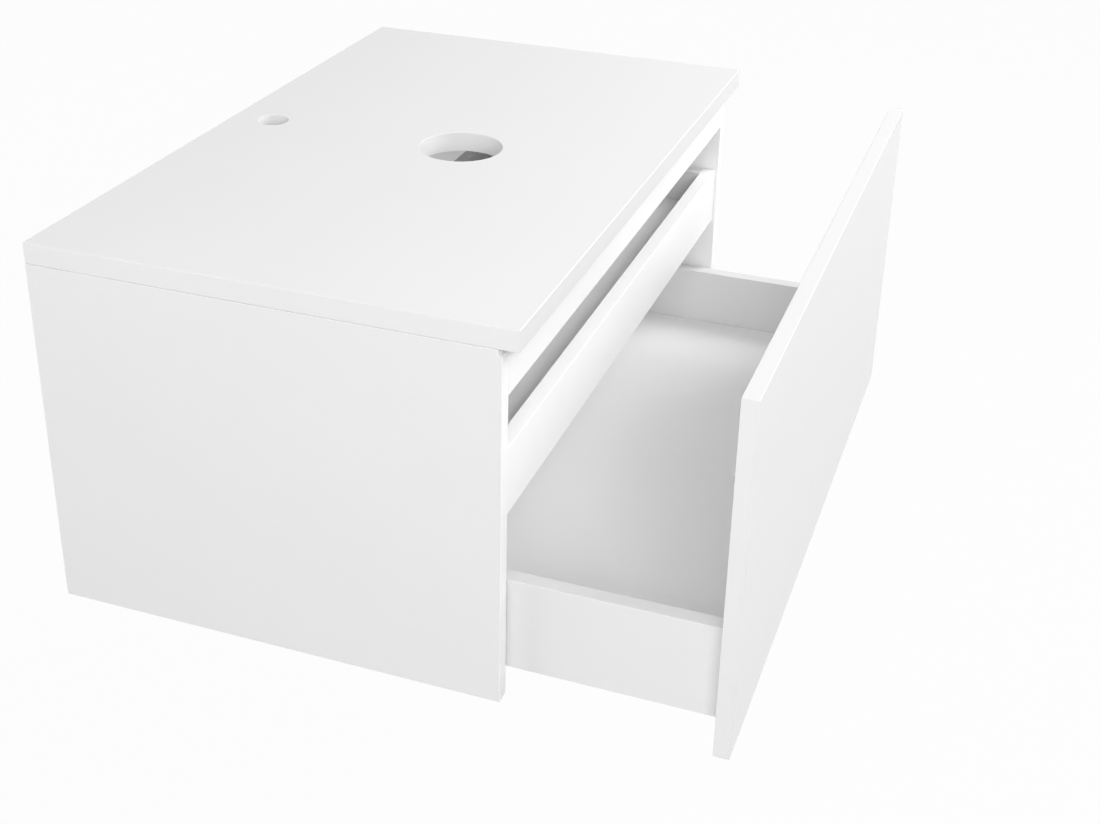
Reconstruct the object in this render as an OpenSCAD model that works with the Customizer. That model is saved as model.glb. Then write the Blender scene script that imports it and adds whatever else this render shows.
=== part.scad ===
// Wall-hung bathroom vanity with an open-bottomed carcass, a worktop drilled for a basin and a tap,
// a tall-fronted lower drawer standing open and a low inner drawer above it.
// Millimetres, +Z up. X runs along the worktop, the wall is the plane y = 0 and the front faces -Y.
// The origin is the middle of the hanging rail's back face, where the vanity meets the wall.

/* [Overall size] */
// Length of the worktop, side to side
length = 800; // [600:10:1200]
// Depth from the wall to the worktop's front edge
depth = 500; // [470:5:560]
// Height from the underside of the side panels to the top of the worktop
height = 400; // [390:5:460]
// Thickness of the worktop
top_thickness = 22; // [18:1:28]
// Thickness of the side panels, rails and drawer boards
board = 16; // [15:0.5:18]

/* [Worktop openings] */
// Diameter of the waste hole under the basin
waste_diameter = 92; // [50:1:100]
// Distance from the worktop's front edge to the middle of the waste hole
waste_from_front = 219; // [190:1:260]
// Diameter of the tap hole
tap_diameter = 35; // [32:1:38]
// Distance from the wall to the middle of the tap hole
tap_from_wall = 49; // [42:1:60]

/* [Rails] */
// Height of the front rail under the worktop
front_rail_height = 52; // [45:1:60]
// Height of the hanging rail at the wall
hanging_rail_height = 96; // [90:1:110]
// Height of the lower rear rail
lower_rail_height = 80; // [70:1:90]
// Distance from each end of the vanity to its wall fixing
fixing_from_end = 60; // [56:1:80]
// Diameter of the holes for the upper wall fixings
fixing_diameter = 9; // [7:0.5:11]

/* [Lower drawer] */
// How far the lower drawer stands open
drawer_open = 209; // [20:1:380]
// Height of the lower drawer's sides
drawer_side_height = 100; // [90:1:110]
// Height of the drawer sides above the underside of the cabinet
drawer_lift = 28; // [26:1:32]
// Gap between the tall front's top edge and the worktop
front_gap = 3; // [2:0.5:4]

/* [Inner drawer] */
// Height of the open slot between the front rail and the inner drawer's front
slot_height = 59; // [50:1:65]
// Height of the inner drawer's front and sides
inner_height = 70; // [64:1:74]
// Depth of the inner drawer with its front
inner_depth = 327; // [300:1:350]
// Distance from the front of the carcass back to the inner drawer's front
inner_setback = 3; // [2:0.5:6]

/* [Runners and fittings] */
// Gap between a side panel and a drawer's side
runner_gap = 4.5; // [4.2:0.1:6]
// Thickness of the runners' steel
runner_steel = 1.5; // [1.2:0.1:1.6]
// Depth of the recess below a drawer's bottom that the runner fills
recess = 13; // [12.5:0.5:14]
// Thickness of the stick-on pads that the tall front closes on
pad_thickness = 1.6; // [1:0.1:2]

/* [Hidden] */
$fn = 48;

// Planes of the carcass
xe = length / 2;                                  // outer face of a side panel
xi = xe - board;                                  // inner face of a side panel
yc = -(depth - board);                            // front edge of the carcass
zu = hanging_rail_height / 2;                     // underside of the worktop
zt = zu + top_thickness;                          // top of the worktop
zb = zt - height;                                 // underside of the side panels
z_front_rail = zu - front_rail_height;            // lower edge of the front rail
z_lower_rail = zb + 40;                           // lower edge of the lower rear rail
zm_lower_rail = z_lower_rail + lower_rail_height / 2;  // and its middle
xf = xe - fixing_from_end;                        // wall fixings, left and right
notch_high = 6;                                   // relief at the top front corner of a side panel
notch_deep = 4;
lower_hole_r = 3;                                 // holes for the lower wall fixings
pad_r = 4.5;                                      // closing pads: radius, below the tall front's top edge
pad_down = 83;

// Boxes of the two drawers: outer faces of the sides, their lower edges and their floors
xs = xi - runner_gap;                             // outer face of a drawer side
xd = xs - board;                                  // inner face of a drawer side
zs = zb + drawer_lift;                            // lower edge of the lower drawer's sides
zs_top = zs + drawer_side_height;
zi_top = z_front_rail - slot_height;              // top of the inner drawer
zi = zi_top - inner_height;                       // lower edge of the inner drawer
yf = yc - drawer_open;                            // back face of the tall front, as it stands open
drawer_depth = depth - board - 34;                // length of the lower drawer's sides
yi = yc + inner_setback;                          // front face of the inner drawer
yi_side = yi + board;                             // front end of the inner drawer's sides
yi_back = yi + inner_depth;                       // back face of the inner drawer

// Fasteners
slack = 0.05;                                     // clearance all round a dowel, a cam and a screw
cam_r = 7.5;                                      // radius of a cam lock
cam_deep = 12.5;                                  // depth of its bore
cam_in = 24;                                      // distance of its middle from the joint
bolt_r = 2.6;                                     // thread of a cam bolt
bolt_deep = 11;                                   // length of that thread
bolt_head = 3.5;                                  // length of the bolt's head
cam_side = 13;                                    // first cam or dowel from a front rail's edge
cam_up = 22;                                      // cams above and below the middle of the lower rail
cam_up_high = 32;                                 // and of the hanging rail
screw_r = 2;                                      // screws: shank, length, head
screw_len = 13;
clip_screw = 18;
head_r = 4;
head_h = 2;
dowel_r = 4;                                      // rail dowels: radius, length, depth in the side panel
dowel_len = 30;
dowel_deep = 9.5;
pin_r = 3;                                        // the drawers' thinner dowels
pin_len = 25;
pin_deep = 9;
pin_end = 60;                                     // first and last dowel along a drawer's bottom

// Brackets
br_leg = 32;                                      // worktop bracket: leg, steel, width
br_steel = 2;
br_wide = 40;
br_hole = 12;                                     // its screw holes from the ends of the legs
br_rear = 110;                                    // rear pair from the wall
br_front = 64;                                    // front pair from the carcass front
br_rail = length * 0.2;                           // pair on the hanging rail, from the middle
wb_steel = 2.5;                                   // wall bracket: steel, half height, leg on the side panel
wb_half = 30;
wb_leg = 40;
wb_long = fixing_from_end - board + 24;           // leg along the rail
wb_screw = 18;                                    // its screws above and below the middle

// Nested runner profiles, measured inwards from the side panel (u) and up from the drawer side (z)
st = runner_steel;
run = 0.3;                                        // running clearance between two members
wide = 21.6;                                      // width of the outer channel
u_out = runner_gap + board + 2;                   // its outer face
u_mid = u_out + st + run;                         // middle channel
u_in = u_mid + st + run;                          // hat of the cabinet member
u_end = u_out + wide;                             // inner edge of the whole runner
floor_z = -1.3;                                   // top of the cabinet member's floor
flange_z = 34;                                    // top of its flange
runner_screw_z = 22;                              // its screws, up from the drawer side
runner_screw_y = 37;                              // and from its ends
lower_start = 6;                                  // front end of the lower runners behind the carcass front
inner_start = 21;                                 // front end of the inner runners
lower_len = drawer_depth;
inner_len = inner_depth - 27;
short = 10;                                       // the moving members are shorter by this

// Locking clips under the front of a drawer's bottom
clip_wide = 28;
clip_long = 50;
clip_start = 2;                                   // behind the drawer's front
clip_low = 1.5;                                   // above the drawer side's lower edge
clip_screw_u = 20;                                // screws in from the runner
clip_screws = [8, 46];                            // and back from the front
pivot_u = 12;                                     // pivot of the release lever
pivot_y = 18;

WHITE = [0.93, 0.93, 0.92];
TOP = [0.95, 0.95, 0.94];
STEEL = [0.72, 0.73, 0.75];
GREY = [0.55, 0.56, 0.58];
BEECH = [0.80, 0.66, 0.46];
PAD = [0.80, 0.80, 0.80];

// ---------- Helpers ----------

// A board or block between three pairs of planes
module block(x0, x1, y0, y1, z0, z1) {
  translate([x0, y0, z0]) cube([x1 - x0, y1 - y0, z1 - z0]);
}

// A flat profile drawn in X and Z, run along Y from y0 to y1
module along_y(y0, y1) {
  translate([0, y1, 0]) rotate([90, 0, 0]) linear_extrude(y1 - y0) children();
}

// The same thing at the left and at the right end
module both_ends() {
  children();
  mirror([1, 0, 0]) children();
}

// A round bar along +X from the local origin
module bar_x(r, len) {
  rotate([0, 90, 0]) cylinder(r = r, h = len);
}

// A round bar along +Y from the local origin
module bar_y(r, len) {
  rotate([-90, 0, 0]) cylinder(r = r, h = len);
}

// Pan-head screw along +Z: the head lies below the origin plane
module screw(len = screw_len) {
  difference() {
    union() {
      cylinder(r = screw_r, h = len);
      translate([0, 0, -head_h]) cylinder(r = head_r, h = head_h);
    }
    translate([0, 0, -head_h - 1]) cylinder(r = 1.3, h = 2.2, $fn = 6);
  }
}

// Pilot hole for that screw, from the face of the board
module pilot(deep = screw_len) {
  translate([0, 0, -1]) cylinder(r = screw_r + slack, h = deep + 1);
}

// Bolt of a cam joint, along +X: thread behind the origin, head at the cam
module cam_bolt() {
  translate([-bolt_deep, 0, 0]) bar_x(bolt_r, bolt_deep);
  bar_x(2, cam_in);
  translate([cam_in - bolt_head, 0, 0]) bar_x(3.2, bolt_head);
}

// Bore in the end of the board that the cam sits in
module cam_bolt_bore() {
  translate([-1, 0, 0]) bar_x(4, cam_in + 1);
}

// Bore for the bolt's thread in the other board, along -X
module cam_thread_bore() {
  translate([-bolt_deep - 0.5, 0, 0]) bar_x(bolt_r + slack, bolt_deep + 1.5);
}

// Cam lock, drawn along +Z from its seat: a drum with the slot that grips the bolt's head
module cam_lock() {
  difference() {
    cylinder(r = cam_r, h = cam_deep);
    translate([-cam_r - 1, 0, board / 2 - (board - cam_deep)]) bar_x(3.6, cam_r + 5);
    translate([0, 0, cam_deep - 1.6]) linear_extrude(3) square([9, 1.4], center = true);
    translate([0, 0, cam_deep - 1.6]) linear_extrude(3) square([1.4, 9], center = true);
  }
}

// Places of the rails' joints on the left side panel's inner face: y, z of the cams and of the dowels
rail_cams = [
  [yc + board / 2, zu - cam_side], [-board / 2, cam_up_high], [-board / 2, -cam_up_high],
  [-board / 2, zm_lower_rail + cam_up], [-board / 2, zm_lower_rail - cam_up]
];
rail_pins = [
  [yc + board / 2, z_front_rail + cam_side], [-board / 2, 0], [-board / 2, zm_lower_rail]
];

// The children at each cam joint of the rails, both ends
module at_rail_cams() {
  both_ends() for (p = rail_cams) translate([-xi, p[0], p[1]]) children();
}

// Seats of the rails' cams, bored from the face towards the wall
module rail_cam_places() {
  both_ends() for (p = rail_cams)
    translate([-xi + cam_in, p[0] + board / 2 - cam_deep, p[1]]) rotate([-90, 0, 0]) children();
}

module at_rail_pins() {
  both_ends() for (p = rail_pins) translate([-xi, p[0], p[1]]) children();
}

// The worktop's angle brackets: their corner at the origin, legs along +X and -Z
module at_brackets() {
  both_ends() {
    for (y = [-br_rear, yc + br_front]) translate([-xi, y, zu]) children();
    translate([-br_rail, -board, zu]) rotate([0, 0, -90]) children();
  }
  translate([0, yc + board, zu]) rotate([0, 0, 90]) children();
}

// Screw places of one bracket: two up into the worktop, two sideways into the board
module bracket_screw_places() {
  for (v = [-br_wide / 4, br_wide / 4]) {
    translate([br_leg - br_hole, v, -br_steel]) children();
    translate([br_steel, v, br_hole - br_leg]) rotate([0, -90, 0]) children();
  }
}

// Screw places of the two wall brackets: two into the rail, two into the side panel
module wall_screw_places() {
  both_ends() for (s = [-1, 1]) {
    translate([-xi + wb_long - 8, -board - wb_steel, s * wb_screw]) rotate([-90, 0, 0]) children();
    translate([-xi + wb_steel, -board - wb_leg * 0.7, s * wb_screw]) rotate([0, -90, 0]) children();
  }
}

// Screw places of a cabinet runner on the left panel
module runner_screw_places(y0, len, z) {
  for (y = [runner_screw_y, len / 2, len - runner_screw_y])
    translate([-xi + st, y0 + y, z + runner_screw_z]) rotate([0, -90, 0]) children();
}

module all_runner_screws() {
  both_ends() {
    runner_screw_places(yc + lower_start, lower_len, zs) children();
    runner_screw_places(yc + inner_start, inner_len, zi) children();
  }
}

// Dowel places of a drawer box, at both sides: the back's, the bottom's and the front's.
// Each dowel lies along +X from its end in the side, and those of the front along +Y.
module drawer_pin_places(y_front, y_back, z, tall) {
  z_floor = z + recess + board;
  both_ends() {
    for (s = [0.3, 0.75]) translate([-xd, y_back - board / 2, z_floor + (z + tall - z_floor) * s]) children();
    for (y = [y_front + pin_end, (y_front + y_back) / 2, y_back - pin_end])
      translate([-xd, y, z_floor - board / 2]) children();
    for (s = [0.3, 0.7]) translate([-xs + board / 2, y_front, z + tall * s]) rotate([0, 0, 90]) children();
  }
}

module drawer_pins(y_front, y_back, z, tall) {
  drawer_pin_places(y_front, y_back, z, tall) translate([-pin_deep, 0, 0]) bar_x(pin_r, pin_len);
}

// Bores for those dowels, a little longer and wider
module drawer_pin_bores(y_front, y_back, z, tall) {
  drawer_pin_places(y_front, y_back, z, tall)
    translate([-pin_deep - 0.5, 0, 0]) bar_x(pin_r + slack, pin_len + 1);
}

// Three cam joints between a drawer's bottom and its front, bored from below
module at_front_cams() {
  for (x = [-xd * 0.68, 0, xd * 0.68]) translate([x, 0, 0]) children();
}

module front_cam_joints(y_front, z) {
  at_front_cams() translate([0, y_front, z + recess + board / 2]) rotate([0, 0, 90]) children();
}

module front_cam_seats(y_front, z) {
  at_front_cams() translate([0, y_front + cam_in, z + recess + cam_deep]) rotate([180, 0, 90]) children();
}

// Places under the left clip of a drawer: u in from the runner, v back from the front, w up
module clip_at(y, z, u, v, w) {
  translate([-xi + u_end + u, y + v, z + w]) children();
}

module clip_body(y, z) {
  difference() {
    clip_at(y, z, 0, clip_start, clip_low) cube([clip_wide, clip_long, recess - clip_low]);
    clip_at(y, z, 6, 13, 4) cube([clip_wide, 27, 5]);
    clip_at(y, z, pivot_u, pivot_y, 0) cylinder(r = 2, h = 10.5);
    for (v = clip_screws) {
      clip_at(y, z, clip_screw_u, v, 0) cylinder(r = head_r + 0.3, h = clip_low + head_h + 1);
      clip_at(y, z, clip_screw_u, v, 0) cylinder(r = screw_r + 0.2, h = recess + 1);
    }
  }
}

// Lever that turns on its own pin in the clip, with a thumb plate at its free end
module release_lever(y, z) {
  clip_at(y, z, pivot_u, pivot_y, 4.3) cylinder(r = 3.6, h = 4.4);
  clip_at(y, z, pivot_u, pivot_y, 2) cylinder(r = 1.95, h = 8.2);
  clip_at(y, z, pivot_u, 16, 4.3) cube([clip_wide, 20, 4.4]);
  clip_at(y, z, pivot_u + clip_wide - 4, 14, 2) cube([4, 24, 9]);
}

module clip_screw_places(y, z) {
  both_ends() for (v = clip_screws) clip_at(y, z, clip_screw_u, v, clip_low + head_h + 1) children();
}

// Runner members on the left side. Cabinet member: flange on the panel, floor and inner hat
hat_wide = wide - 4 * st - 4 * run;
hat_z = recess - 2 * st - 2 * run;

module cabinet_runner(y0, len, z) {
  difference() {
    along_y(y0, y0 + len) translate([-xi, z]) polygon([
      [0, floor_z - st], [u_end, floor_z - st], [u_end, floor_z], [u_in + hat_wide, floor_z],
      [u_in + hat_wide, hat_z], [u_in, hat_z], [u_in, floor_z],
      [st, floor_z], [st, flange_z], [0, flange_z]]);
    along_y(y0 - 1, y0 + len + 1) translate([-xi + u_in + st, z + floor_z - 2 * st])
      square([hat_wide - 2 * st, hat_z - floor_z + st]);
    runner_screw_places(y0, len, z) translate([0, 0, -st - 1]) cylinder(r = screw_r + 0.2, h = st + 3);
  }
}

// Middle member: a channel over the cabinet member's hat
module middle_runner(y0, len, z) {
  along_y(y0, y0 + len) translate([-xi + u_mid, z]) difference() {
    translate([0, floor_z + run]) square([hat_wide + 2 * st + 2 * run, hat_z + st - floor_z]);
    translate([st, floor_z - 1]) square([hat_wide + 2 * run, hat_z + run + 1 - floor_z]);
  }
}

// Drawer member: the outer channel, against the underside of the drawer's bottom
module drawer_runner(y0, len, z) {
  along_y(y0, y0 + len) translate([-xi + u_out, z]) difference() {
    translate([0, 0.4]) square([wide, recess - 0.4]);
    translate([st, -1]) square([wide - 2 * st, recess - st + 1]);
  }
}

// ---------- Carcass ----------

module worktop() color(TOP) difference() {
  block(-xe, xe, -depth, 0, zu, zt);
  translate([0, -depth + waste_from_front, zu - 1])
    cylinder(d = waste_diameter, h = top_thickness + 2, $fn = 96);
  translate([0, -tap_from_wall, zu - 1])
    cylinder(d = tap_diameter, h = top_thickness + 2, $fn = 72);
  at_brackets() bracket_screw_places() pilot(screw_len + 0.5);
}

module left_side_panel() color(WHITE) difference() {
  block(-xe, -xi, yc, 0, zb, zu);
  block(-xe - 1, -xi + 1, yc - 1, yc + notch_deep, zu - notch_high, zu + 1);
  at_rail_cams() cam_thread_bore();
  at_rail_pins() translate([-dowel_deep - 0.5, 0, 0]) bar_x(dowel_r + slack, dowel_deep + 1.5);
  at_brackets() bracket_screw_places() pilot(screw_len + 0.5);
  wall_screw_places() pilot(screw_len + 0.5);
  all_runner_screws() pilot(screw_len + 0.5);
}

module right_side_panel() color(WHITE) difference() {
  block(xi, xe, yc, 0, zb, zu);
  block(xi - 1, xe + 1, yc - 1, yc + notch_deep, zu - notch_high, zu + 1);
  at_rail_cams() cam_thread_bore();
  at_rail_pins() translate([-dowel_deep - 0.5, 0, 0]) bar_x(dowel_r + slack, dowel_deep + 1.5);
  at_brackets() bracket_screw_places() pilot(screw_len + 0.5);
  wall_screw_places() pilot(screw_len + 0.5);
  all_runner_screws() pilot(screw_len + 0.5);
}

// Cuts that every rail needs for its joints to the side panels
module rail_joint_bores() {
  at_rail_cams() cam_bolt_bore();
  rail_cam_places() cylinder(r = cam_r + slack, h = cam_deep + 1);
  at_rail_pins() translate([-1, 0, 0]) bar_x(dowel_r + slack, dowel_len - dowel_deep + 2);
  at_brackets() bracket_screw_places() pilot(screw_len + 0.5);
}

module front_top_rail() color(WHITE) difference() {
  block(-xi, xi, yc, yc + board, z_front_rail, zu);
  rail_joint_bores();
}

module hanging_rail() color(WHITE) difference() {
  block(-xi, xi, -board, 0, -zu, zu);
  rail_joint_bores();
  wall_screw_places() pilot(screw_len + 0.5);
  both_ends() translate([-xf, -board - 1, 0]) bar_y(fixing_diameter / 2, board + 2);
}

module lower_rear_rail() color(WHITE) difference() {
  block(-xi, xi, -board, 0, z_lower_rail, z_lower_rail + lower_rail_height);
  rail_joint_bores();
  both_ends() translate([-xf, -board - 1, zm_lower_rail]) bar_y(lower_hole_r, board + 2);
}

module rail_cam_bolts() color(STEEL) at_rail_cams() cam_bolt();

module rail_cam_locks() color(GREY) rail_cam_places() cam_lock();

module rail_dowels() color(BEECH) at_rail_pins() translate([-dowel_deep, 0, 0]) bar_x(dowel_r, dowel_len);

module worktop_brackets() color(STEEL) at_brackets() difference() {
  translate([0, br_wide / 2, 0]) rotate([90, 0, 0]) linear_extrude(br_wide)
    polygon([[0, 0], [br_leg, 0], [br_leg, -br_steel],
      [br_steel, -br_steel], [br_steel, -br_leg], [0, -br_leg]]);
  bracket_screw_places() translate([0, 0, -1]) cylinder(r = screw_r + 0.2, h = br_steel + 2);
}

module worktop_bracket_screws() color(GREY) at_brackets() bracket_screw_places() screw();

module wall_bracket() difference() {
  union() {
    block(-xi, -xi + wb_long, -board - wb_steel, -board, -wb_half, wb_half);
    block(-xi, -xi + wb_steel, -board - wb_steel - wb_leg, -board, -wb_half, wb_half);
  }
  translate([-xf, -board - wb_steel - 1, 0]) bar_y(fixing_diameter / 2, wb_steel + 2);
  wall_screw_places() translate([0, 0, -1]) cylinder(r = screw_r + 0.2, h = wb_steel + 2);
}

module left_wall_bracket() color(STEEL) wall_bracket();

module right_wall_bracket() color(STEEL) mirror([1, 0, 0]) wall_bracket();

module wall_bracket_screws() color(GREY) wall_screw_places() screw();

// ---------- Runners on the carcass ----------

module left_lower_cabinet_runner() color(STEEL) cabinet_runner(yc + lower_start, lower_len, zs);

module right_lower_cabinet_runner() color(STEEL) mirror([1, 0, 0])
  cabinet_runner(yc + lower_start, lower_len, zs);

module left_inner_cabinet_runner() color(STEEL) cabinet_runner(yc + inner_start, inner_len, zi);

module right_inner_cabinet_runner() color(STEEL) mirror([1, 0, 0])
  cabinet_runner(yc + inner_start, inner_len, zi);

module cabinet_runner_screws() color(GREY) all_runner_screws() screw();

// ---------- Inner drawer, closed ----------

module left_inner_middle_runner() color(STEEL) middle_runner(yc + inner_start, inner_len - short, zi);

module right_inner_middle_runner() color(STEEL) mirror([1, 0, 0])
  middle_runner(yc + inner_start, inner_len - short, zi);

module left_inner_drawer_runner() color(STEEL) drawer_runner(yc + inner_start, inner_len - short, zi);

module right_inner_drawer_runner() color(STEEL) mirror([1, 0, 0])
  drawer_runner(yc + inner_start, inner_len - short, zi);

module inner_bores() {
  drawer_pin_bores(yi_side, yi_back, zi, inner_height);
  front_cam_joints(yi_side, zi) cam_bolt_bore();
  front_cam_seats(yi_side, zi) cylinder(r = cam_r + slack, h = cam_deep + 1);
  clip_screw_places(yi_side, zi) pilot(clip_screw + 0.5);
}

module inner_drawer_front() color(WHITE) difference() {
  block(-xi + 2, xi - 2, yi, yi_side, zi, zi_top);
  drawer_pin_bores(yi_side, yi_back, zi, inner_height);
  front_cam_joints(yi_side, zi) cam_thread_bore();
}

module inner_drawer_left_side() color(WHITE) difference() {
  block(-xs, -xd, yi_side, yi_back, zi, zi_top);
  drawer_pin_bores(yi_side, yi_back, zi, inner_height);
}

module inner_drawer_right_side() color(WHITE) difference() {
  block(xd, xs, yi_side, yi_back, zi, zi_top);
  drawer_pin_bores(yi_side, yi_back, zi, inner_height);
}

module inner_drawer_back() color(WHITE) difference() {
  block(-xd, xd, yi_back - board, yi_back, zi + recess + board, zi_top);
  drawer_pin_bores(yi_side, yi_back, zi, inner_height);
}

module inner_drawer_bottom() color(WHITE) difference() {
  block(-xd, xd, yi_side, yi_back, zi + recess, zi + recess + board);
  inner_bores();
}

module inner_drawer_dowels() color(BEECH) drawer_pins(yi_side, yi_back, zi, inner_height);

module inner_drawer_cam_bolts() color(STEEL) front_cam_joints(yi_side, zi) cam_bolt();

module inner_drawer_cam_locks() color(GREY) front_cam_seats(yi_side, zi) cam_lock();

module inner_clip_bodies() color(GREY) both_ends() clip_body(yi_side, zi);

module inner_left_lever() color(PAD) release_lever(yi_side, zi);

module inner_right_lever() color(PAD) mirror([1, 0, 0]) release_lever(yi_side, zi);

module inner_clip_screws() color(STEEL) clip_screw_places(yi_side, zi) screw(clip_screw);

// ---------- Lower drawer, standing open ----------

module left_lower_middle_runner() color(STEEL)
  middle_runner(yc + lower_start - drawer_open / 2, lower_len - short, zs);

module right_lower_middle_runner() color(STEEL) mirror([1, 0, 0])
  middle_runner(yc + lower_start - drawer_open / 2, lower_len - short, zs);

module left_lower_drawer_runner() color(STEEL)
  drawer_runner(yc + lower_start - drawer_open, lower_len - short, zs);

module right_lower_drawer_runner() color(STEEL) mirror([1, 0, 0])
  drawer_runner(yc + lower_start - drawer_open, lower_len - short, zs);

module drawer_front() color(WHITE) difference() {
  block(-xe, xe, yf - board, yf, zb, zu - front_gap);
  drawer_pin_bores(yf, yf + drawer_depth, zs, drawer_side_height);
  front_cam_joints(yf, zs) cam_thread_bore();
}

module drawer_left_side() color(WHITE) difference() {
  block(-xs, -xd, yf, yf + drawer_depth, zs, zs_top);
  drawer_pin_bores(yf, yf + drawer_depth, zs, drawer_side_height);
}

module drawer_right_side() color(WHITE) difference() {
  block(xd, xs, yf, yf + drawer_depth, zs, zs_top);
  drawer_pin_bores(yf, yf + drawer_depth, zs, drawer_side_height);
}

module drawer_back() color(WHITE) difference() {
  block(-xd, xd, yf + drawer_depth - board, yf + drawer_depth, zs + recess + board, zs_top);
  drawer_pin_bores(yf, yf + drawer_depth, zs, drawer_side_height);
}

module drawer_bottom() color(WHITE) difference() {
  block(-xd, xd, yf, yf + drawer_depth, zs + recess, zs + recess + board);
  drawer_pin_bores(yf, yf + drawer_depth, zs, drawer_side_height);
  front_cam_joints(yf, zs) cam_bolt_bore();
  front_cam_seats(yf, zs) cylinder(r = cam_r + slack, h = cam_deep + 1);
  clip_screw_places(yf, zs) pilot(clip_screw + 0.5);
}

module drawer_dowels() color(BEECH) drawer_pins(yf, yf + drawer_depth, zs, drawer_side_height);

module drawer_cam_bolts() color(STEEL) front_cam_joints(yf, zs) cam_bolt();

module drawer_cam_locks() color(GREY) front_cam_seats(yf, zs) cam_lock();

module drawer_clip_bodies() color(GREY) both_ends() clip_body(yf, zs);

module drawer_left_lever() color(PAD) release_lever(yf, zs);

module drawer_right_lever() color(PAD) mirror([1, 0, 0]) release_lever(yf, zs);

module drawer_clip_screws() color(STEEL) clip_screw_places(yf, zs) screw(clip_screw);

// Round pads on the back of the tall front, where it meets the side panels' front edges
module closing_pads() color(PAD) both_ends()
  translate([-xe + board / 2, yf, zu - front_gap - pad_down]) bar_y(pad_r, pad_thickness);

worktop();
left_side_panel();
right_side_panel();
front_top_rail();
hanging_rail();
lower_rear_rail();
rail_cam_bolts();
rail_cam_locks();
rail_dowels();
worktop_brackets();
worktop_bracket_screws();
left_wall_bracket();
right_wall_bracket();
wall_bracket_screws();
left_lower_cabinet_runner();
right_lower_cabinet_runner();
left_inner_cabinet_runner();
right_inner_cabinet_runner();
cabinet_runner_screws();
left_inner_middle_runner();
right_inner_middle_runner();
left_inner_drawer_runner();
right_inner_drawer_runner();
inner_drawer_front();
inner_drawer_left_side();
inner_drawer_right_side();
inner_drawer_back();
inner_drawer_bottom();
inner_drawer_dowels();
inner_drawer_cam_bolts();
inner_drawer_cam_locks();
inner_clip_bodies();
inner_left_lever();
inner_right_lever();
inner_clip_screws();
left_lower_middle_runner();
right_lower_middle_runner();
left_lower_drawer_runner();
right_lower_drawer_runner();
drawer_front();
drawer_left_side();
drawer_right_side();
drawer_back();
drawer_bottom();
drawer_dowels();
drawer_cam_bolts();
drawer_cam_locks();
drawer_clip_bodies();
drawer_left_lever();
drawer_right_lever();
drawer_clip_screws();
closing_pads();
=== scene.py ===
# White wall-hung bathroom vanity: an open-bottomed carcass under a worktop drilled for a basin and a tap,
# a tall-fronted lower drawer standing open, and a low inner drawer above it. The sections follow the order
# in which it is put together. Metres, +Z up, the wall is the plane y = 0 and the front faces -Y.
import math

import bpy
from mathutils import Matrix, Vector


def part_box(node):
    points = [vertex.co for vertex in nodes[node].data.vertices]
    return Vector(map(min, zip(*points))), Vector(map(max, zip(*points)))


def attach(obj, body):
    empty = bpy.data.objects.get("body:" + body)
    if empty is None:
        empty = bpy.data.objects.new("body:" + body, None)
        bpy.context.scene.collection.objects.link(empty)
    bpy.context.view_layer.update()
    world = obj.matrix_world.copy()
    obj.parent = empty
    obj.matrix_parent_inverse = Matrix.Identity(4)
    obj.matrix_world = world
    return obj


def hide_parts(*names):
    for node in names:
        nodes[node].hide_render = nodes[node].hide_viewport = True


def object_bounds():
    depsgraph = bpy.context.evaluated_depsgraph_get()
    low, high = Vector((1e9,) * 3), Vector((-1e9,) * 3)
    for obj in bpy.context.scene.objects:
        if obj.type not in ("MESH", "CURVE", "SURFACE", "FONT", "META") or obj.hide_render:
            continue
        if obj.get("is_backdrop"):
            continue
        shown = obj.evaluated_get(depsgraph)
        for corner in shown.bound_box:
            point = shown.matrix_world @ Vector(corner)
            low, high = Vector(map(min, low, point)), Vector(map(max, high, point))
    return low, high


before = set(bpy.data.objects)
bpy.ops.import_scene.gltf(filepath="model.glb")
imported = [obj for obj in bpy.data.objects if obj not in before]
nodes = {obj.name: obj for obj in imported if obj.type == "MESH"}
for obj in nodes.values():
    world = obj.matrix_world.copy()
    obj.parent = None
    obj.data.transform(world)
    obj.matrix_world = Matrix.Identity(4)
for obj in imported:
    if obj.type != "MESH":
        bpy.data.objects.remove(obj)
cad_low, cad_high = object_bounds()

# ---------- Side panels ----------
# Two 16 mm MDF panels, lacquered white outside and faced with melamine inside, their edges rubbed round. A
# strip closes the front edge, a step at its top clears the front rail, and the worktop rests a hair above.

MM = 0.001
PANEL_EASE = 0.8 * MM
TOP_JOINT = 0.2 * MM
STEP_HIGH = 6 * MM
STEP_DEEP = 4 * MM
STEP_SPARE = 5 * MM
LONGEST_FACET = 3.2 * MM
SQUARE_EDGE = math.radians(60)
SMOOTH_BELOW = math.radians(35)
ALONG_AXIS = 0.9999
FACING_IT = 0.7
ROUND_STEPS = 3


def linear(colour):
    """A colour written as sRGB hex, as the linear values that a shader takes."""
    parts = [int(colour[i : i + 2], 16) / 255 for i in (1, 3, 5)]
    return (*[c / 12.92 if c <= 0.04045 else ((c + 0.055) / 1.055) ** 2.4 for c in parts], 1.0)


def node(material, kind, inputs=None, **settings):
    """Adds a node with its settings. An input that is given a socket is linked, any other is set."""
    added = material.node_tree.nodes.new(kind)
    for name, value in settings.items():
        setattr(added, name, value)
    for name, value in (inputs or {}).items():
        if isinstance(value, bpy.types.NodeSocket):
            material.node_tree.links.new(value, added.inputs[name])
        else:
            added.inputs[name].default_value = value
    return added


def finish_of(name, roughness, metallic=0.0):
    """A new material, its surface shader and the object's own coordinates in metres."""
    material = bpy.data.materials.new(name)
    material.use_nodes = True
    shader = material.node_tree.nodes["Principled BSDF"]
    shader.inputs["Roughness"].default_value = roughness
    shader.inputs["Metallic"].default_value = metallic
    return material, shader, node(material, "ShaderNodeTexCoord").outputs["Object"]


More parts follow.
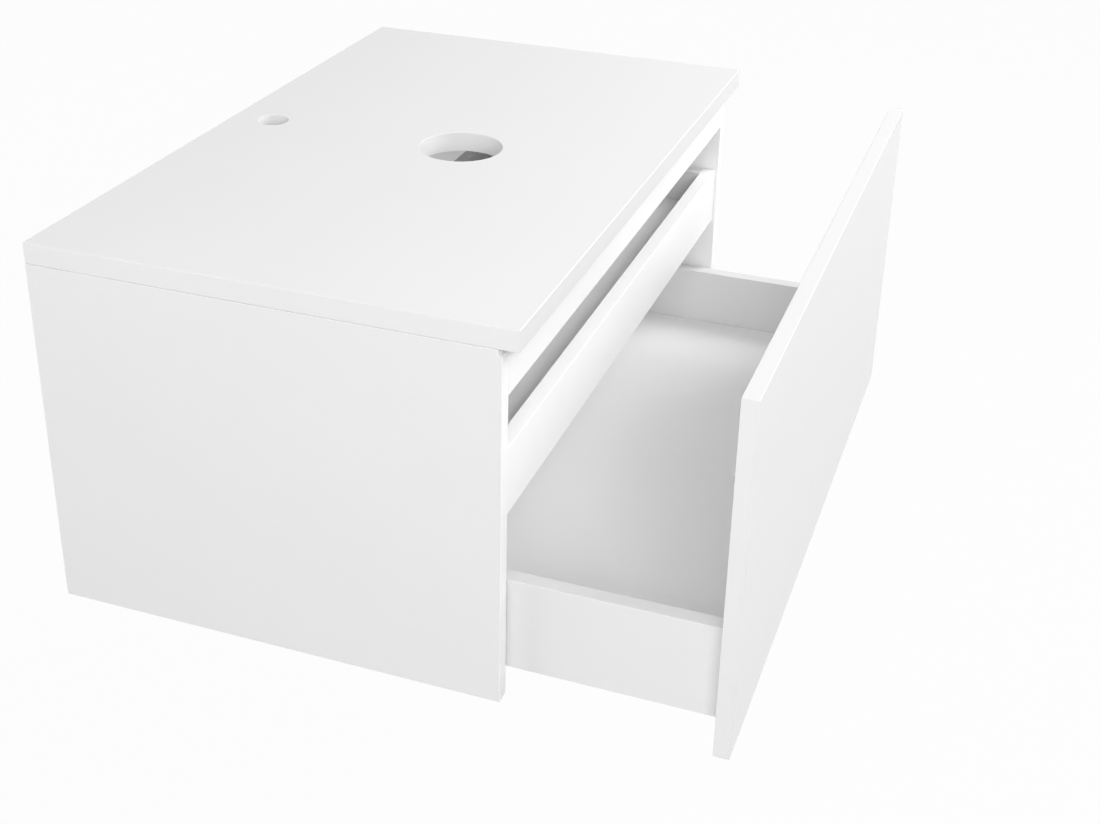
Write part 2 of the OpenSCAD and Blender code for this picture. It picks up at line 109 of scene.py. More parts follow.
def two_tones(material, shader, amount, first, second):
    """Runs the colour from the first tone to the second as the amount goes from 0 to 1."""
    ends = {0: amount, 6: linear(first), 7: linear(second)}
    tones = node(material, "ShaderNodeMix", ends, data_type="RGBA")
    material.node_tree.links.new(tones.outputs[2], shader.inputs["Base Color"])


def relief(material, shader, height, depth):
    """Raises the surface by up to the depth where the height is 1."""
    bump = node(material, "ShaderNodeBump", {"Height": height, "Distance": depth})
    material.node_tree.links.new(bump.outputs["Normal"], shader.inputs["Normal"])


# Two-pack lacquer, sprayed and left to flow: a satin white skin with an orange peel about 2.5 mm across and
# a few hundredths of a millimetre deep, its film a little thicker here and there.
lacquer, shader, place = finish_of("white_satin_lacquer_sprayed", 0.45)
peel = node(lacquer, "ShaderNodeTexNoise", {"Vector": place, "Scale": 1 / (2.5 * MM), "Detail": 1.0})
film = node(lacquer, "ShaderNodeTexNoise", {"Vector": place, "Scale": 1 / (90 * MM), "Detail": 2.0})
two_tones(lacquer, shader, film.outputs["Fac"], "#E3E3E3", "#E5E5E5")
relief(lacquer, shader, peel.outputs["Fac"], 0.01 * MM)
shader.inputs["Specular IOR Level"].default_value = 0.35

# Melamine facing, pressed hot against a finely grained steel plate: satin, with a pearl grain. Its white is
# painted lighter than the lacquer's, though the real boards are one white: painted light that stands in for
# the light inside the cabinet. The real grain is about 0.3 mm across, and it is drawn at 0.8 mm to show at
# all.
melamine_painted_light, shader, place = finish_of("white_melamine_painted_light", 0.42)
grain = node(melamine_painted_light, "ShaderNodeTexNoise", {"Vector": place, "Scale": 1 / (0.8 * MM)})
cloud = node(melamine_painted_light, "ShaderNodeTexNoise", {"Vector": place, "Scale": 1 / (60 * MM), "Detail": 3.0})
two_tones(melamine_painted_light, shader, cloud.outputs["Fac"], "#F6F6F6", "#F8F8F8")
relief(melamine_painted_light, shader, grain.outputs["Fac"], 0.012 * MM)

# Edge strip, extruded ABS, scraped and buffed after gluing: a little glossier, with faint waves 3 mm apart
# from the scraper. Its white is painted lighter still than the melamine's: painted light, which brightens the
# edges it covers, the side panels' front edges among them.
edge_strip_painted_light, shader, place = finish_of("white_abs_edge_strip_painted_light", 0.38)
waves = node(edge_strip_painted_light, "ShaderNodeTexNoise", {"Vector": place, "Scale": 1 / (3 * MM), "Detail": 3.0})
two_tones(edge_strip_painted_light, shader, waves.outputs["Fac"], "#F9F9F9", "#FBFBFB")
relief(edge_strip_painted_light, shader, waves.outputs["Fac"], 0.03 * MM)


def pick(*pieces):
    """Selects only these pieces, and makes the first of them the active one."""
    bpy.ops.object.select_all(action="DESELECT")
    for piece in pieces:
        piece.select_set(True)
    bpy.context.view_layer.objects.active = pieces[0]


def start_edit(piece, kind="EDGE"):
    """Puts only this piece in edit mode, with nothing in it selected."""
    pick(piece)
    bpy.ops.object.mode_set(mode="EDIT")
    bpy.ops.mesh.select_mode(type=kind)
    bpy.ops.mesh.select_all(action="DESELECT")


def add_block(name, low, high):
    """A square block between two corners, such as a board sawn to size."""
    bpy.ops.object.select_all(action="DESELECT")
    bpy.ops.mesh.primitive_cube_add(size=1, location=(low + high) / 2)
    block = bpy.context.object
    block.name = name
    block.data.name = name
    block.scale = high - low
    bpy.ops.object.transform_apply(location=True, rotation=True, scale=True)
    return block


def cut_away(piece, cutter):
    """Takes the cutter's shape out of the piece, and then the cutter away."""
    pick(piece)
    bpy.ops.object.modifier_add(type="BOOLEAN")
    cut = piece.modifiers[-1]
    cut.object = cutter
    cut.operation = "DIFFERENCE"
    cut.solver = "EXACT"
    bpy.ops.object.modifier_apply(modifier=cut.name)
    bpy.data.objects.remove(cutter)


def round_edges(piece, chosen, radius, steps=ROUND_STEPS):
    """Rounds the edges of a piece for which the choice holds."""
    start_edit(piece)
    bpy.ops.object.mode_set(mode="OBJECT")
    for edge in piece.data.edges:
        edge.select = chosen(*[piece.data.vertices[i].co for i in edge.vertices])
    bpy.ops.object.mode_set(mode="EDIT")
    bpy.ops.mesh.bevel(offset=radius, segments=steps, affect="EDGES", clamp_overlap=False)
    bpy.ops.object.mode_set(mode="OBJECT")


def ease_edges(piece, radius):
    """Rounds every straight square edge, and leaves the rims of bores, whose facets are short."""
    start_edit(piece)
    bpy.ops.mesh.edges_select_sharp(sharpness=SQUARE_EDGE)
    bpy.ops.object.mode_set(mode="OBJECT")
    for edge in piece.data.edges:
        first, last = [piece.data.vertices[i].co for i in edge.vertices]
        run = last - first
        straight = max(abs(c) for c in run) > ALONG_AXIS * run.length
        edge.select = edge.select and straight and run.length > LONGEST_FACET
    bpy.ops.object.mode_set(mode="EDIT")
    bpy.ops.mesh.bevel(offset=radius, segments=ROUND_STEPS, affect="EDGES", clamp_overlap=False)
    bpy.ops.object.mode_set(mode="OBJECT")


def smooth_rounds(piece):
    """Smooth shading over the small rounds, with the large faces kept flat."""
    pick(piece)
    bpy.ops.object.shade_smooth_by_angle(angle=SMOOTH_BELOW)
    bpy.ops.object.modifier_add(type="WEIGHTED_NORMAL")
    weighted = piece.modifiers[-1]
    weighted.keep_sharp = True
    bpy.ops.object.modifier_apply(modifier=weighted.name)


def coat(piece, *finishes):
    """Gives a piece these finishes alone, the first of them all over."""
    piece.data.materials.clear()
    for finish in finishes:
        piece.data.materials.append(finish)


def cover_faces(piece, finish, towards):
    """Gives every face that looks in one direction another finish."""
    piece.data.materials.append(finish)
    for face in piece.data.polygons:
        if face.normal.dot(Vector(towards)) > FACING_IT:
            face.material_index = len(piece.data.materials) - 1


def stand_for(piece, cad_node, body):
    """The finished piece rides on a body in place of the CAD node."""
    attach(piece, body)
    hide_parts(cad_node)


for side in ("left", "right"):
    low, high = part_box(f"{side}_side_panel")
    panel = add_block(f"{side}_panel_board", low, high - Vector((0, 0, TOP_JOINT)))
    step_low = Vector((low.x - STEP_SPARE, low.y - STEP_SPARE, high.z - STEP_HIGH))
    step_high = Vector((high.x + STEP_SPARE, low.y + STEP_DEEP, high.z + STEP_SPARE))
    cut_away(panel, add_block("step_cutter", step_low, step_high))
    ease_edges(panel, PANEL_EASE)
    coat(panel, lacquer)
    # Painted light: the melamine inside and the strip on the front edge are set whiter than the lacquer.
    cover_faces(panel, melamine_painted_light, (1 if side == "left" else -1, 0, 0))
    cover_faces(panel, edge_strip_painted_light, (0, -1, 0))
    smooth_rounds(panel)
    stand_for(panel, f"{side}_side_panel", "carcass")

# ---------- Rails ----------
# Three 16 mm chipboard rails tie the side panels together: one under the worktop's front edge, one at the
# wall that carries the load, and one low at the wall. They are faced with melamine, with a 1 mm plastic strip
# on the edges that show, both in a white painted lighter than the lacquer's as painted light. Their ends and
# bores are raw.

STRIP = 1.0 * MM
BOARD_EASE = 0.5 * MM
SAWN = 0.01 * MM
SAME_POINT = 0.002 * MM
SAME_PLANE = math.radians(0.5)
FLAKE_SHARE = 0.55
FRONT_EDGE = (1, -1)
REAR_EDGE = (1, 1)
LOWER_EDGE = (2, -1)
UPPER_EDGE = (2, 1)
LEFT_END = (0, -1)
RIGHT_END = (0, 1)

# Raw chipboard, sawn and drilled: flakes of spruce up to 4 mm long in brown glue, with open pores.
chipboard, shader, place = finish_of("raw_chipboard_sawn", 0.85)
flakes = node(chipboard, "ShaderNodeTexVoronoi", {"Vector": place, "Scale": 1 / (2.2 * MM)})
fibres = node(chipboard, "ShaderNodeTexNoise", {"Vector": place, "Scale": 1 / (0.7 * MM), "Detail": 4.0})
grains = {0: FLAKE_SHARE, 2: fibres.outputs["Fac"], 3: flakes.outputs["Distance"]}
chips = node(chipboard, "ShaderNodeMix", grains)
two_tones(chipboard, shader, chips.outputs[0], "#8C6B45", "#D9BD92")
relief(chipboard, shader, chips.outputs[0], 0.25 * MM)


def corners(piece):
    """The lowest and the highest corner of a piece's mesh."""
    points = [vertex.co for vertex in piece.data.vertices]
    low = Vector([min(point[i] for point in points) for i in range(3)])
    high = Vector([max(point[i] for point in points) for i in range(3)])
    return low, high


def add_object(name, data):
    """A new object in the scene for a mesh, a lamp or a camera."""
    added = bpy.data.objects.new(name, data)
    bpy.context.scene.collection.objects.link(added)
    return added


def merged_copy(name, cad_node):
    """A CAD node's mesh, copied with its bores, its doubled points merged and its facets joined."""
    piece = add_object(name, nodes[cad_node].data.copy())
    piece.data.name = name
    piece.data.materials.clear()
    start_edit(piece)
    bpy.ops.mesh.select_all(action="SELECT")
    bpy.ops.mesh.remove_doubles(threshold=SAME_POINT)
    bpy.ops.mesh.customdata_custom_splitnormals_clear()
    bpy.ops.mesh.dissolve_limited(angle_limit=SAME_PLANE)
    bpy.ops.object.mode_set(mode="OBJECT")
    return piece


def depth_below(point, low, high, axis, side):
    """How far a point lies below the side of a box that looks along the axis to that side."""
    return high[axis] - point[axis] if side > 0 else point[axis] - low[axis]


def face_board(board, strips, raw_sides=(), facing=melamine_painted_light):
    """Faces a board, glues its strips on, and leaves its raw sides and bores bare."""
    low, high = corners(board)
    for axis, side in strips:
        start_edit(board)
        bpy.ops.mesh.select_all(action="SELECT")
        seam = high[axis] - STRIP if side > 0 else low[axis] + STRIP
        on_seam = [seam if i == axis else 0.0 for i in range(3)]
        across = [1.0 if i == axis else 0.0 for i in range(3)]
        bpy.ops.mesh.bisect(plane_co=on_seam, plane_no=across)
        bpy.ops.object.mode_set(mode="OBJECT")
    ease_edges(board, BOARD_EASE)
    coat(board, facing, edge_strip_painted_light, chipboard)
    box_sides = [(axis, side) for axis in range(3) for side in (-1, 1)]
    for face in board.data.polygons:
        if min(depth_below(face.center, low, high, *s) for s in box_sides) > BOARD_EASE + SAWN:
            face.material_index = 2
        elif any(depth_below(face.center, low, high, *s) < SAWN for s in raw_sides):
            face.material_index = 2
        elif any(depth_below(face.center, low, high, *s) < STRIP for s in strips):
            face.material_index = 1
        else:
            face.material_index = 0
    smooth_rounds(board)


for name, cad_node, strips in (
    ("front_rail_board", "front_top_rail", [LOWER_EDGE]),
    ("hanging_rail_board", "hanging_rail", [LOWER_EDGE]),
    ("lower_rail_board", "lower_rear_rail", [LOWER_EDGE, UPPER_EDGE]),
):
    rail = merged_copy(name, cad_node)
    face_board(rail, strips, [LEFT_END, RIGHT_END])
    stand_for(rail, cad_node, "carcass")

# ---------- Board joints ----------
# Beech dowels line the boards up. A zinc-plated bolt, screwed into one board, is drawn tight by a die-cast
# cam that turns in a bore of the other: ten on the rails and three under the front of each drawer.

# Beech, compressed and fluted by rolling: warm pale brown, with dark flecks about 1.5 mm long.
beech, shader, place = finish_of("beech_rolled_dowel", 0.6)
flecks = node(beech, "ShaderNodeTexNoise", {"Vector": place, "Scale": 1 / (1.5 * MM), "Detail": 5.0})
two_tones(beech, shader, flecks.outputs["Fac"], "#B98F62", "#E0C39A")
relief(beech, shader, flecks.outputs["Fac"], 0.1 * MM)

# Steel, zinc plated and clear passivated: bright with a blue cast, slightly cloudy from the bath.
plated, shader, place = finish_of("steel_zinc_plated_clear", 0.32, 1.0)
bath = node(plated, "ShaderNodeTexNoise", {"Vector": place, "Scale": 1 / (3 * MM), "Detail": 3.0})
two_tones(plated, shader, bath.outputs["Fac"], "#B7BCC3", "#D3D6DA")
relief(plated, shader, bath.outputs["Fac"], 0.02 * MM)

# Zinc alloy, die cast and tumbled: dull grey skin with a grain about half a millimetre across.
die_cast, shader, place = finish_of("zinc_alloy_die_cast", 0.5, 1.0)
skin = node(die_cast, "ShaderNodeTexNoise", {"Vector": place, "Scale": 1 / (0.5 * MM), "Detail": 4.0})
two_tones(die_cast, shader, skin.outputs["Fac"], "#9EA1A4", "#BDBFC1")
relief(die_cast, shader, skin.outputs["Fac"], 0.06 * MM)


def dress(cad_node, finish):
    """Gives a CAD node its finish."""
    for slot in nodes[cad_node].material_slots:
        slot.material = finish


for joint in ("rail", "drawer", "inner_drawer"):
    dress(f"{joint}_dowels", beech)
    dress(f"{joint}_cam_bolts", plated)
    dress(f"{joint}_cam_locks", die_cast)

# ---------- Worktop ----------
# One 22 mm MDF board, lacquered white on top, round the edges and through both holes, with its corners rubbed
# round and melamine below. The large hole takes the basin's waste, and the small one the tap.

TOP_EASE = 1.0 * MM
WASTE_RADIUS = 46 * MM
WASTE_FROM_FRONT = 219 * MM
TAP_RADIUS = 17.5 * MM
TAP_FROM_WALL = 49 * MM
HOLE_SIDES = 128
RIM_EASE = 0.6 * MM
ON_WALL = 0.01 * MM


def drill(board, radius, x, y):
    """Bores a round hole right through a board from above and rubs its two rims round."""
    low, high = corners(board)
    middle = (x, y, (low.z + high.z) / 2)
    through = 3 * (high.z - low.z)
    bpy.ops.object.select_all(action="DESELECT")
    bpy.ops.mesh.primitive_cylinder_add(vertices=HOLE_SIDES, radius=radius, depth=through, location=middle)
    bpy.ops.object.transform_apply(location=True, rotation=True, scale=True)
    cut_away(board, bpy.context.object)
    centre = Vector((x, y))

    def on_rim(first, last):
        in_bore = all(abs((end.xy - centre).length - radius) < ON_WALL for end in (first, last))
        return in_bore and abs(first.z - last.z) < ON_WALL

    round_edges(board, on_rim, RIM_EASE)


low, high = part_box("worktop")
top = add_block("worktop_board", low, high)
ease_edges(top, TOP_EASE)
drill(top, WASTE_RADIUS, 0.0, low.y + WASTE_FROM_FRONT)
drill(top, TAP_RADIUS, 0.0, high.y - TAP_FROM_WALL)
coat(top, lacquer)
cover_faces(top, melamine_painted_light, (0, 0, -1))
smooth_rounds(top)
stand_for(top, "worktop", "carcass")

# ---------- Brackets ----------
# Seven small angle brackets hold the worktop to the carcass from below, and two heavier ones take the wall
# bolts through the hanging rail. All are pressed from galvanised strip, with their burrs tumbled off.

PRESSED_EASE = 0.4 * MM

# Steel strip, hot-dip galvanised: grey crystals about 7 mm across, each a little lighter or darker.
galvanised, shader, place = finish_of("steel_galvanised_spangle", 0.38, 1.0)
crystals = node(galvanised, "ShaderNodeTexVoronoi", {"Vector": place, "Scale": 1 / (7 * MM)})
crystal = node(galvanised, "ShaderNodeSeparateColor", {"Color": crystals.outputs["Color"]})
two_tones(galvanised, shader, crystal.outputs["Red"], "#BABDC0", "#CBCED0")
relief(galvanised, shader, crystals.outputs["Distance"], 0.03 * MM)


def eased_copy(name, cad_node, radius, finish):
    """A CAD node's shape with every longer square edge taken off, in one finish."""
    piece = merged_copy(name, cad_node)
    ease_edges(piece, radius)
    coat(piece, finish)
    smooth_rounds(piece)
    return piece


for name, cad_node in (
    ("worktop_angle_brackets", "worktop_brackets"),
    ("left_wall_angle_bracket", "left_wall_bracket"),
    ("right_wall_angle_bracket", "right_wall_bracket"),
):
    bracket = eased_copy(name, cad_node, PRESSED_EASE, galvanised)
    stand_for(bracket, cad_node, "carcass")

# ---------- Runners ----------
# Concealed runners rolled from galvanised strip. The cabinet member is screwed to the side panel, the
# drawer member carries the drawer from below, and the middle member slides between them.

ROLLED_EASE = 0.45 * MM

for side in ("left", "right"):
    for drawer, drawer_body in (("lower", "lower_drawer"), ("inner", "inner_drawer")):
        for member, body in (
            ("cabinet", "carcass"),
            ("middle", f"{drawer}_middle_runners"),
            ("drawer", drawer_body),
        ):
            cad_node = f"{side}_{drawer}_{member}_runner"
            channel = eased_copy(f"{cad_node}_channel", cad_node, ROLLED_EASE, galvanised)
            stand_for(channel, cad_node, body)

# ---------- Drawer boxes ----------
# Each drawer is a box of 16 mm boards, dowelled and glued: melamine-faced, with foil-wrapped sides. Its floor
# stands up between the sides, over the hidden runners, bored from below for the front's cams. It is cut a
# hair short, which shows as a fine dark line along each side.

JOINT = 0.4 * MM

# Finish foil, printed white and wrapped around the sides without a seam: satin, with a fine paper grain about
# 1 mm long. Its white is painted darker than the melamine's: painted shade that stands in for the shade on
# the drawer sides.
side_foil_painted_shade, shader, place = finish_of("white_foil_wrapped_painted_shade", 0.45)
paper = node(side_foil_painted_shade, "ShaderNodeTexNoise", {"Vector": place, "Scale": 1 / (1 * MM), "Detail": 3.0})
two_tones(side_foil_painted_shade, shader, paper.outputs["Fac"], "#E1E1E1", "#E4E4E4")
relief(side_foil_painted_shade, shader, paper.outputs["Fac"], 0.01 * MM)


def shorten_ends(board):
    """Draws a floor's two sawn ends in by the width of the open joint."""
    low, high = corners(board)
    for end, inwards in ((low.x, JOINT), (high.x, -JOINT)):
        start_edit(board, "VERT")
        bpy.ops.object.mode_set(mode="OBJECT")
        for vertex in board.data.vertices:
            vertex.select = abs(vertex.co.x - end) < SAWN
        bpy.ops.object.mode_set(mode="EDIT")
        bpy.ops.transform.translate(value=(inwards, 0, 0))
        bpy.ops.object.mode_set(mode="OBJECT")


for box_name, cad_name, body in (
    ("lower_box", "drawer", "lower_drawer"),
    ("inner_box", "inner_drawer", "inner_drawer"),
):
    for part in ("left_side", "right_side", "back", "bottom"):
        cad_node = f"{cad_name}_{part}"
        if part == "bottom":
            board = merged_copy(f"{box_name}_floor", cad_node)
            shorten_ends(board)
            face_board(board, [REAR_EDGE], [FRONT_EDGE, LEFT_END, RIGHT_END])
        elif part == "back":
            board = add_block(f"{box_name}_back", *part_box(cad_node))
            face_board(board, [UPPER_EDGE], [LEFT_END, RIGHT_END])
        else:
            board = add_block(f"{box_name}_{part}", *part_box(cad_node))
            # The sides take the foil, whose darker white is painted shade.
            face_board(board, [REAR_EDGE], [FRONT_EDGE], side_foil_painted_shade)
        stand_for(board, cad_node, body)

front = add_block("inner_box_front", *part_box("inner_drawer_front"))
face_board(front, [UPPER_EDGE, LOWER_EDGE, LEFT_END, RIGHT_END])
stand_for(front, "inner_drawer_front", "inner_drawer")

# ---------- Tall front ----------
# One 16 mm MDF panel, lacquered in front and round its edges, with a melamine back. Cams and dowels hold it
# to the lower drawer. It covers both drawers and has no handle, since a hand reaches behind its edges.

FRONT_EASE = 0.8 * MM

tall_front = add_block("tall_front_panel", *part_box("drawer_front"))
ease_edges(tall_front, FRONT_EASE)
coat(tall_front, lacquer)
cover_faces(tall_front, melamine_painted_light, (0, 1, 0))
smooth_rounds(tall_front)
stand_for(tall_front, "drawer_front", "lower_drawer")

# ---------- Locking clips ----------
# A moulded clip at each front corner below a drawer's floor grips the runner, and its lever lets it go. The
# edges carry the small radius that lets the moulding leave its tool.

MOULDED_EASE = 0.35 * MM

# Acetal, injection moulded in a spark-eroded tool: matt mid grey with a fine pitted grain.
clip_plastic, shader, place = finish_of("grey_acetal_moulded", 0.55)
pits = node(clip_plastic, "ShaderNodeTexNoise", {"Vector": place, "Scale": 1 / (0.6 * MM), "Detail": 2.0})
two_tones(clip_plastic, shader, pits.outputs["Fac"], "#85888B", "#94979A")
relief(clip_plastic, shader, pits.outputs["Fac"], 0.04 * MM)

# The levers are moulded paler, so that a hand below the drawer finds them.
lever_plastic, shader, place = finish_of("pale_grey_acetal_moulded", 0.5)
pits = node(lever_plastic, "ShaderNodeTexNoise", {"Vector": place, "Scale": 1 / (0.6 * MM), "Detail": 2.0})
two_tones(lever_plastic, shader, pits.outputs["Fac"], "#BFC1C3", "#CDCFD0")
relief(lever_plastic, shader, pits.outputs["Fac"], 0.04 * MM)

for drawer, lever_body, body in (
    ("drawer", "lower", "lower_drawer"),
    ("inner", "inner", "inner_drawer"),
):
    clips = eased_copy(f"{lever_body}_locking_clips", f"{drawer}_clip_bodies", MOULDED_EASE, clip_plastic)
    stand_for(clips, f"{drawer}_clip_bodies", body)
    for side in ("left", "right"):
        cad_node = f"{drawer}_{side}_lever"
        lever = eased_copy(f"{lever_body}_{side}_release_lever", cad_node, MOULDED_EASE, lever_plastic)
        stand_for(lever, cad_node, f"{lever_body}_{side}_lever")

# ---------- Screws ----------
# Pan-head chipboard screws, zinc plated, with a cross recess. One is turned and its head stamped, and a copy
# goes to each place of the CAD screws, its head against the bracket, runner or clip.

HEAD_RADIUS = 4.0 * MM
HEAD_HIGH = 2.0 * MM
HEAD_DOME = 1.3 * MM
SHANK_RADIUS = 2.0 * MM
TIP = 3.0 * MM
RECESS_WIDE = 0.9 * MM
RECESS_LONG = 4.4 * MM
RECESS_DEEP = 1.3 * MM
HEAD_SIDES = 32
HEAD_STEPS = 4
TIP_LEFT = 0.1
LOOKS_UP = 0.9


def turned_screw(length):
    """A screw along +Z with its head below the origin plane."""
    bpy.ops.object.select_all(action="DESELECT")
    bpy.ops.mesh.primitive_cylinder_add(
        vertices=HEAD_SIDES, radius=HEAD_RADIUS, depth=HEAD_HIGH, location=(0, 0, -HEAD_HIGH / 2)
    )
    screw = bpy.context.object
    bpy.ops.object.transform_apply(location=True, rotation=True, scale=True)
    start_edit(screw, "FACE")
    bpy.ops.object.mode_set(mode="OBJECT")
    for face in screw.data.polygons:
        face.select = face.normal.z > LOOKS_UP
    bpy.ops.object.mode_set(mode="EDIT")
    bpy.ops.mesh.inset(thickness=HEAD_RADIUS - SHANK_RADIUS)
    bpy.ops.mesh.extrude_region_move(TRANSFORM_OT_translate={"value": (0, 0, length - TIP)})
    bpy.ops.mesh.extrude_region_move(TRANSFORM_OT_translate={"value": (0, 0, TIP)})
    bpy.ops.transform.resize(value=(TIP_LEFT, TIP_LEFT, 1))
    bpy.ops.object.mode_set(mode="OBJECT")
    round_edges(screw, lambda *ends: all(end.z < ON_WALL - HEAD_HIGH for end in ends), HEAD_DOME, HEAD_STEPS)
    for half_x, half_y in ((RECESS_LONG / 2, RECESS_WIDE / 2), (RECESS_WIDE / 2, RECESS_LONG / 2)):
        slot_low = Vector((-half_x, -half_y, -HEAD_HIGH - RECESS_DEEP))
        slot_high = Vector((half_x, half_y, -HEAD_HIGH + RECESS_DEEP))
        cut_away(screw, add_block("recess_cutter", slot_low, slot_high))
    coat(screw, plated)
    pick(screw)
    bpy.ops.object.shade_smooth_by_angle(angle=SMOOTH_BELOW)
    return screw


def screw_places(cad_node):
    """Where each solid of the CAD node seats its head, and which way its shank runs."""
    solids = merged_copy("screw_solids", cad_node)
    start_edit(solids)
    bpy.ops.mesh.select_all(action="SELECT")
    bpy.ops.mesh.separate(type="LOOSE")
    bpy.ops.object.mode_set(mode="OBJECT")
    places = []
    for solid in list(bpy.context.selected_objects):
        low, high = corners(solid)
        size = high - low
        axis = max(range(3), key=lambda i: size[i])
        middle = (low + high) / 2
        heights = []
        for vertex in solid.data.vertices:
            offset = vertex.co - middle
            height = offset[axis]
            offset[axis] = 0.0
            if offset.length > (HEAD_RADIUS + SHANK_RADIUS) / 2:
                heights.append(height)
        head_above = sum(heights) > 0
        seat = middle.copy()
        seat[axis] = high[axis] - HEAD_HIGH if head_above else low[axis] + HEAD_HIGH
        shank = Vector([0.0, 0.0, 0.0])
        shank[axis] = -1.0 if head_above else 1.0
        places.append((seat, shank, size[axis] - HEAD_HIGH))
        bpy.data.objects.remove(solid)
    return places


for cad_node, name, body in (
    ("worktop_bracket_screws", "worktop_pan_screws", "carcass"),
    ("wall_bracket_screws", "wall_bracket_pan_screws", "carcass"),
    ("cabinet_runner_screws", "runner_pan_screws", "carcass"),
    ("drawer_clip_screws", "lower_clip_pan_screws", "lower_drawer"),
    ("inner_clip_screws", "inner_clip_pan_screws", "inner_drawer"),
):
    places = screw_places(cad_node)
    pattern = turned_screw(places[0][2])
    copies = []
    for seat, shank, _ in places:
        copy = add_object(name, pattern.data.copy())
        turn = shank.to_track_quat("Z", "Y").to_matrix().to_4x4()
        copy.data.transform(Matrix.Translation(seat) @ turn)
        copies.append(copy)
    bpy.data.objects.remove(pattern)
    pick(*copies)
    bpy.ops.object.join()
    stand_for(copies[0], cad_node, body)

# ---------- Closing pads ----------
# Two clear stick-on pads, cast in a drop, on the back of the tall front where it meets the side panels.

PAD_DOME = 1.2 * MM
PAD_SIDES = 48
PAD_STEPS = 6

# Polyurethane, cast clear: soft and glassy, with a faint haze.
pad_rubber, shader, place = finish_of("clear_polyurethane_cast", 0.18)
haze = node(pad_rubber, "ShaderNodeTexNoise", {"Vector": place, "Scale": 1 / (2 * MM)})
two_tones(pad_rubber, shader, haze.outputs["Fac"], "#E4E6E6", "#F0F1F1")
shader.inputs["Transmission Weight"].default_value = 0.6
shader.inputs["IOR"].default_value = 1.5

pads_low, pads_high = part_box("closing_pads")
pad_radius = (pads_high.z - pads_low.z) / 2
pads = []
for x in (pads_low.x + pad_radius, pads_high.x - pad_radius):
    centre = (x, (pads_low.y + pads_high.y) / 2, (pads_low.z + pads_high.z) / 2)
    bpy.ops.object.select_all(action="DESELECT")
    bpy.ops.mesh.primitive_cylinder_add(
        vertices=PAD_SIDES, radius=pad_radius, depth=pads_high.y - pads_low.y, location=centre
    )
    pad = bpy.context.object
    pad.rotation_euler = (math.pi / 2, 0, 0)
    bpy.ops.object.transform_apply(location=True, rotation=True, scale=True)
    round_edges(pad, lambda *ends: all(end.y > pads_high.y - ON_WALL for end in ends), PAD_DOME, PAD_STEPS)
    pads.append(pad)
pick(*pads)
bpy.ops.object.join()
pads[0].name = "clear_closing_pads"
pads[0].data.name = "clear_closing_pads"
coat(pads[0], pad_rubber)
smooth_rounds(pads[0])
stand_for(pads[0], "closing_pads", "lower_drawer")

# ---------- Floor, light and camera ----------
# A white studio: even light from all round, three soft lamps above the front and one behind, and a pale floor
# at the height below a vanity hung with its top at 850 mm. Seen straight, floor and surroundings are white.

HUNG_AT = 850 * MM
FLOOR_SIZE = 16.0
FLOOR_WHITE = 0.97
MOTTLE = 400 * MM
SKY = 0.35
LAMP_SIZE = 1.8
LAMP_AWAY = 3.4
LAMP_AIM = (0.0, -0.35, -0.1)
LAMPS = (
    ("left_softbox", (-0.85, -0.35, 0.45), 62.0),
    ("front_softbox", (-0.45, -0.65, 0.6), 15.0),
    ("right_softbox", (0.5, -0.6, 0.6), 88.0),
    ("back_softbox", (-0.5, 0.85, 0.15), 34.0),
)
CAMERA_PLACE = (-1.5397, -0.9172, 0.6776)
CAMERA_TURN = (64.841, -1.014, -70.223)
CAMERA_LENS = 52.447
FILM_WIDE = 36.0
PICTURE = (1100, 824)
SIGHT_LINE = (541.2, 291.0)


def straight_rays(material):
    """1 for what the camera sees, straight or by way of metal or glass, and 0 for light on the object."""
    ray = node(material, "ShaderNodeLightPath").outputs
    seen = {0: ray["Is Camera Ray"], 1: ray["Is Glossy Ray"]}
    seen = node(material, "ShaderNodeMath", seen, operation="MAXIMUM")
    seen = {0: seen.outputs[0], 1: ray["Is Transmission Ray"]}
    return node(material, "ShaderNodeMath", seen, operation="MAXIMUM").outputs[0]


bpy.ops.object.select_all(action="DESELECT")
bpy.ops.mesh.primitive_plane_add(size=FLOOR_SIZE, location=(0, 0, cad_high.z - HUNG_AT))
floor = bpy.context.object
floor.name = "studio_floor"

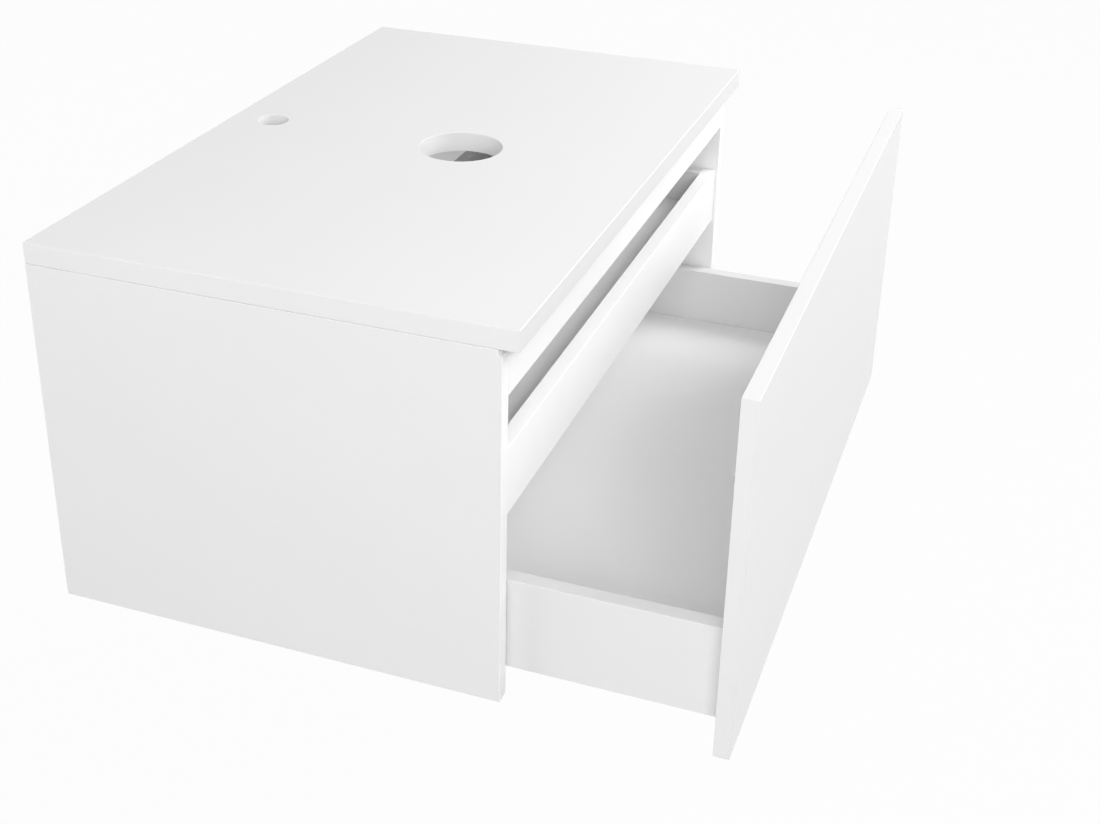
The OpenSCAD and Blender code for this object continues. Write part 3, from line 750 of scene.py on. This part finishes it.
# Painted studio floor: grey for the light that it throws up, nearly all white where it is seen straight, so
# that a little of the object's shadow stays, and clear when it is looked at from below.
paint, shader, place = finish_of("studio_floor_white", 0.9)
mottle = node(paint, "ShaderNodeTexNoise", {"Vector": place, "Scale": 1 / MOTTLE})
two_tones(paint, shader, mottle.outputs["Fac"], "#ACACAC", "#B0B0B0")
glow = node(paint, "ShaderNodeEmission", {"Color": linear("#FFFFFF"), "Strength": 1.0})
share = {0: straight_rays(paint), 1: FLOOR_WHITE}
share = node(paint, "ShaderNodeMath", share, operation="MULTIPLY")
shown = {0: share.outputs[0], 1: shader.outputs[0], 2: glow.outputs[0]}
shown = node(paint, "ShaderNodeMixShader", shown)
below = node(paint, "ShaderNodeNewGeometry").outputs["Backfacing"]
clear = node(paint, "ShaderNodeBsdfTransparent")
sided = {0: below, 1: shown.outputs[0], 2: clear.outputs[0]}
sided = node(paint, "ShaderNodeMixShader", sided)
surface = paint.node_tree.nodes["Material Output"].inputs["Surface"]
paint.node_tree.links.new(sided.outputs[0], surface)
floor.data.materials.append(paint)
floor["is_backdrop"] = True

world = bpy.data.worlds.new("white_studio")
world.use_nodes = True
bpy.context.scene.world = world
sky = world.node_tree.nodes["Background"]
sky.inputs["Color"].default_value = linear("#FFFFFF")
strength = node(world, "ShaderNodeMix", {0: straight_rays(world), 2: SKY, 3: 1.0})
world.node_tree.links.new(strength.outputs[0], sky.inputs["Strength"])

for name, direction, power in LAMPS:
    lamp = bpy.data.lights.new(name, "AREA")
    lamp.shape = "SQUARE"
    lamp.size = LAMP_SIZE
    lamp.energy = power
    softbox = add_object(name, lamp)
    softbox.location = Vector(LAMP_AIM) + Vector(direction).normalized() * LAMP_AWAY
    softbox.rotation_euler = (-Vector(direction)).to_track_quat("-Z", "Y").to_euler()

view = bpy.data.cameras.new("photo_camera")
view.lens = CAMERA_LENS
view.sensor_width = FILM_WIDE
view.shift_x = (PICTURE[0] / 2 - SIGHT_LINE[0]) / PICTURE[0]
view.shift_y = (SIGHT_LINE[1] - PICTURE[1] / 2) / PICTURE[0]
camera = add_object("photo_camera", view)
camera.location = CAMERA_PLACE
camera.rotation_euler = [math.radians(angle) for angle in CAMERA_TURN]
bpy.context.scene.camera = camera
bpy.context.scene.view_settings.view_transform = "Standard"

low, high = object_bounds()
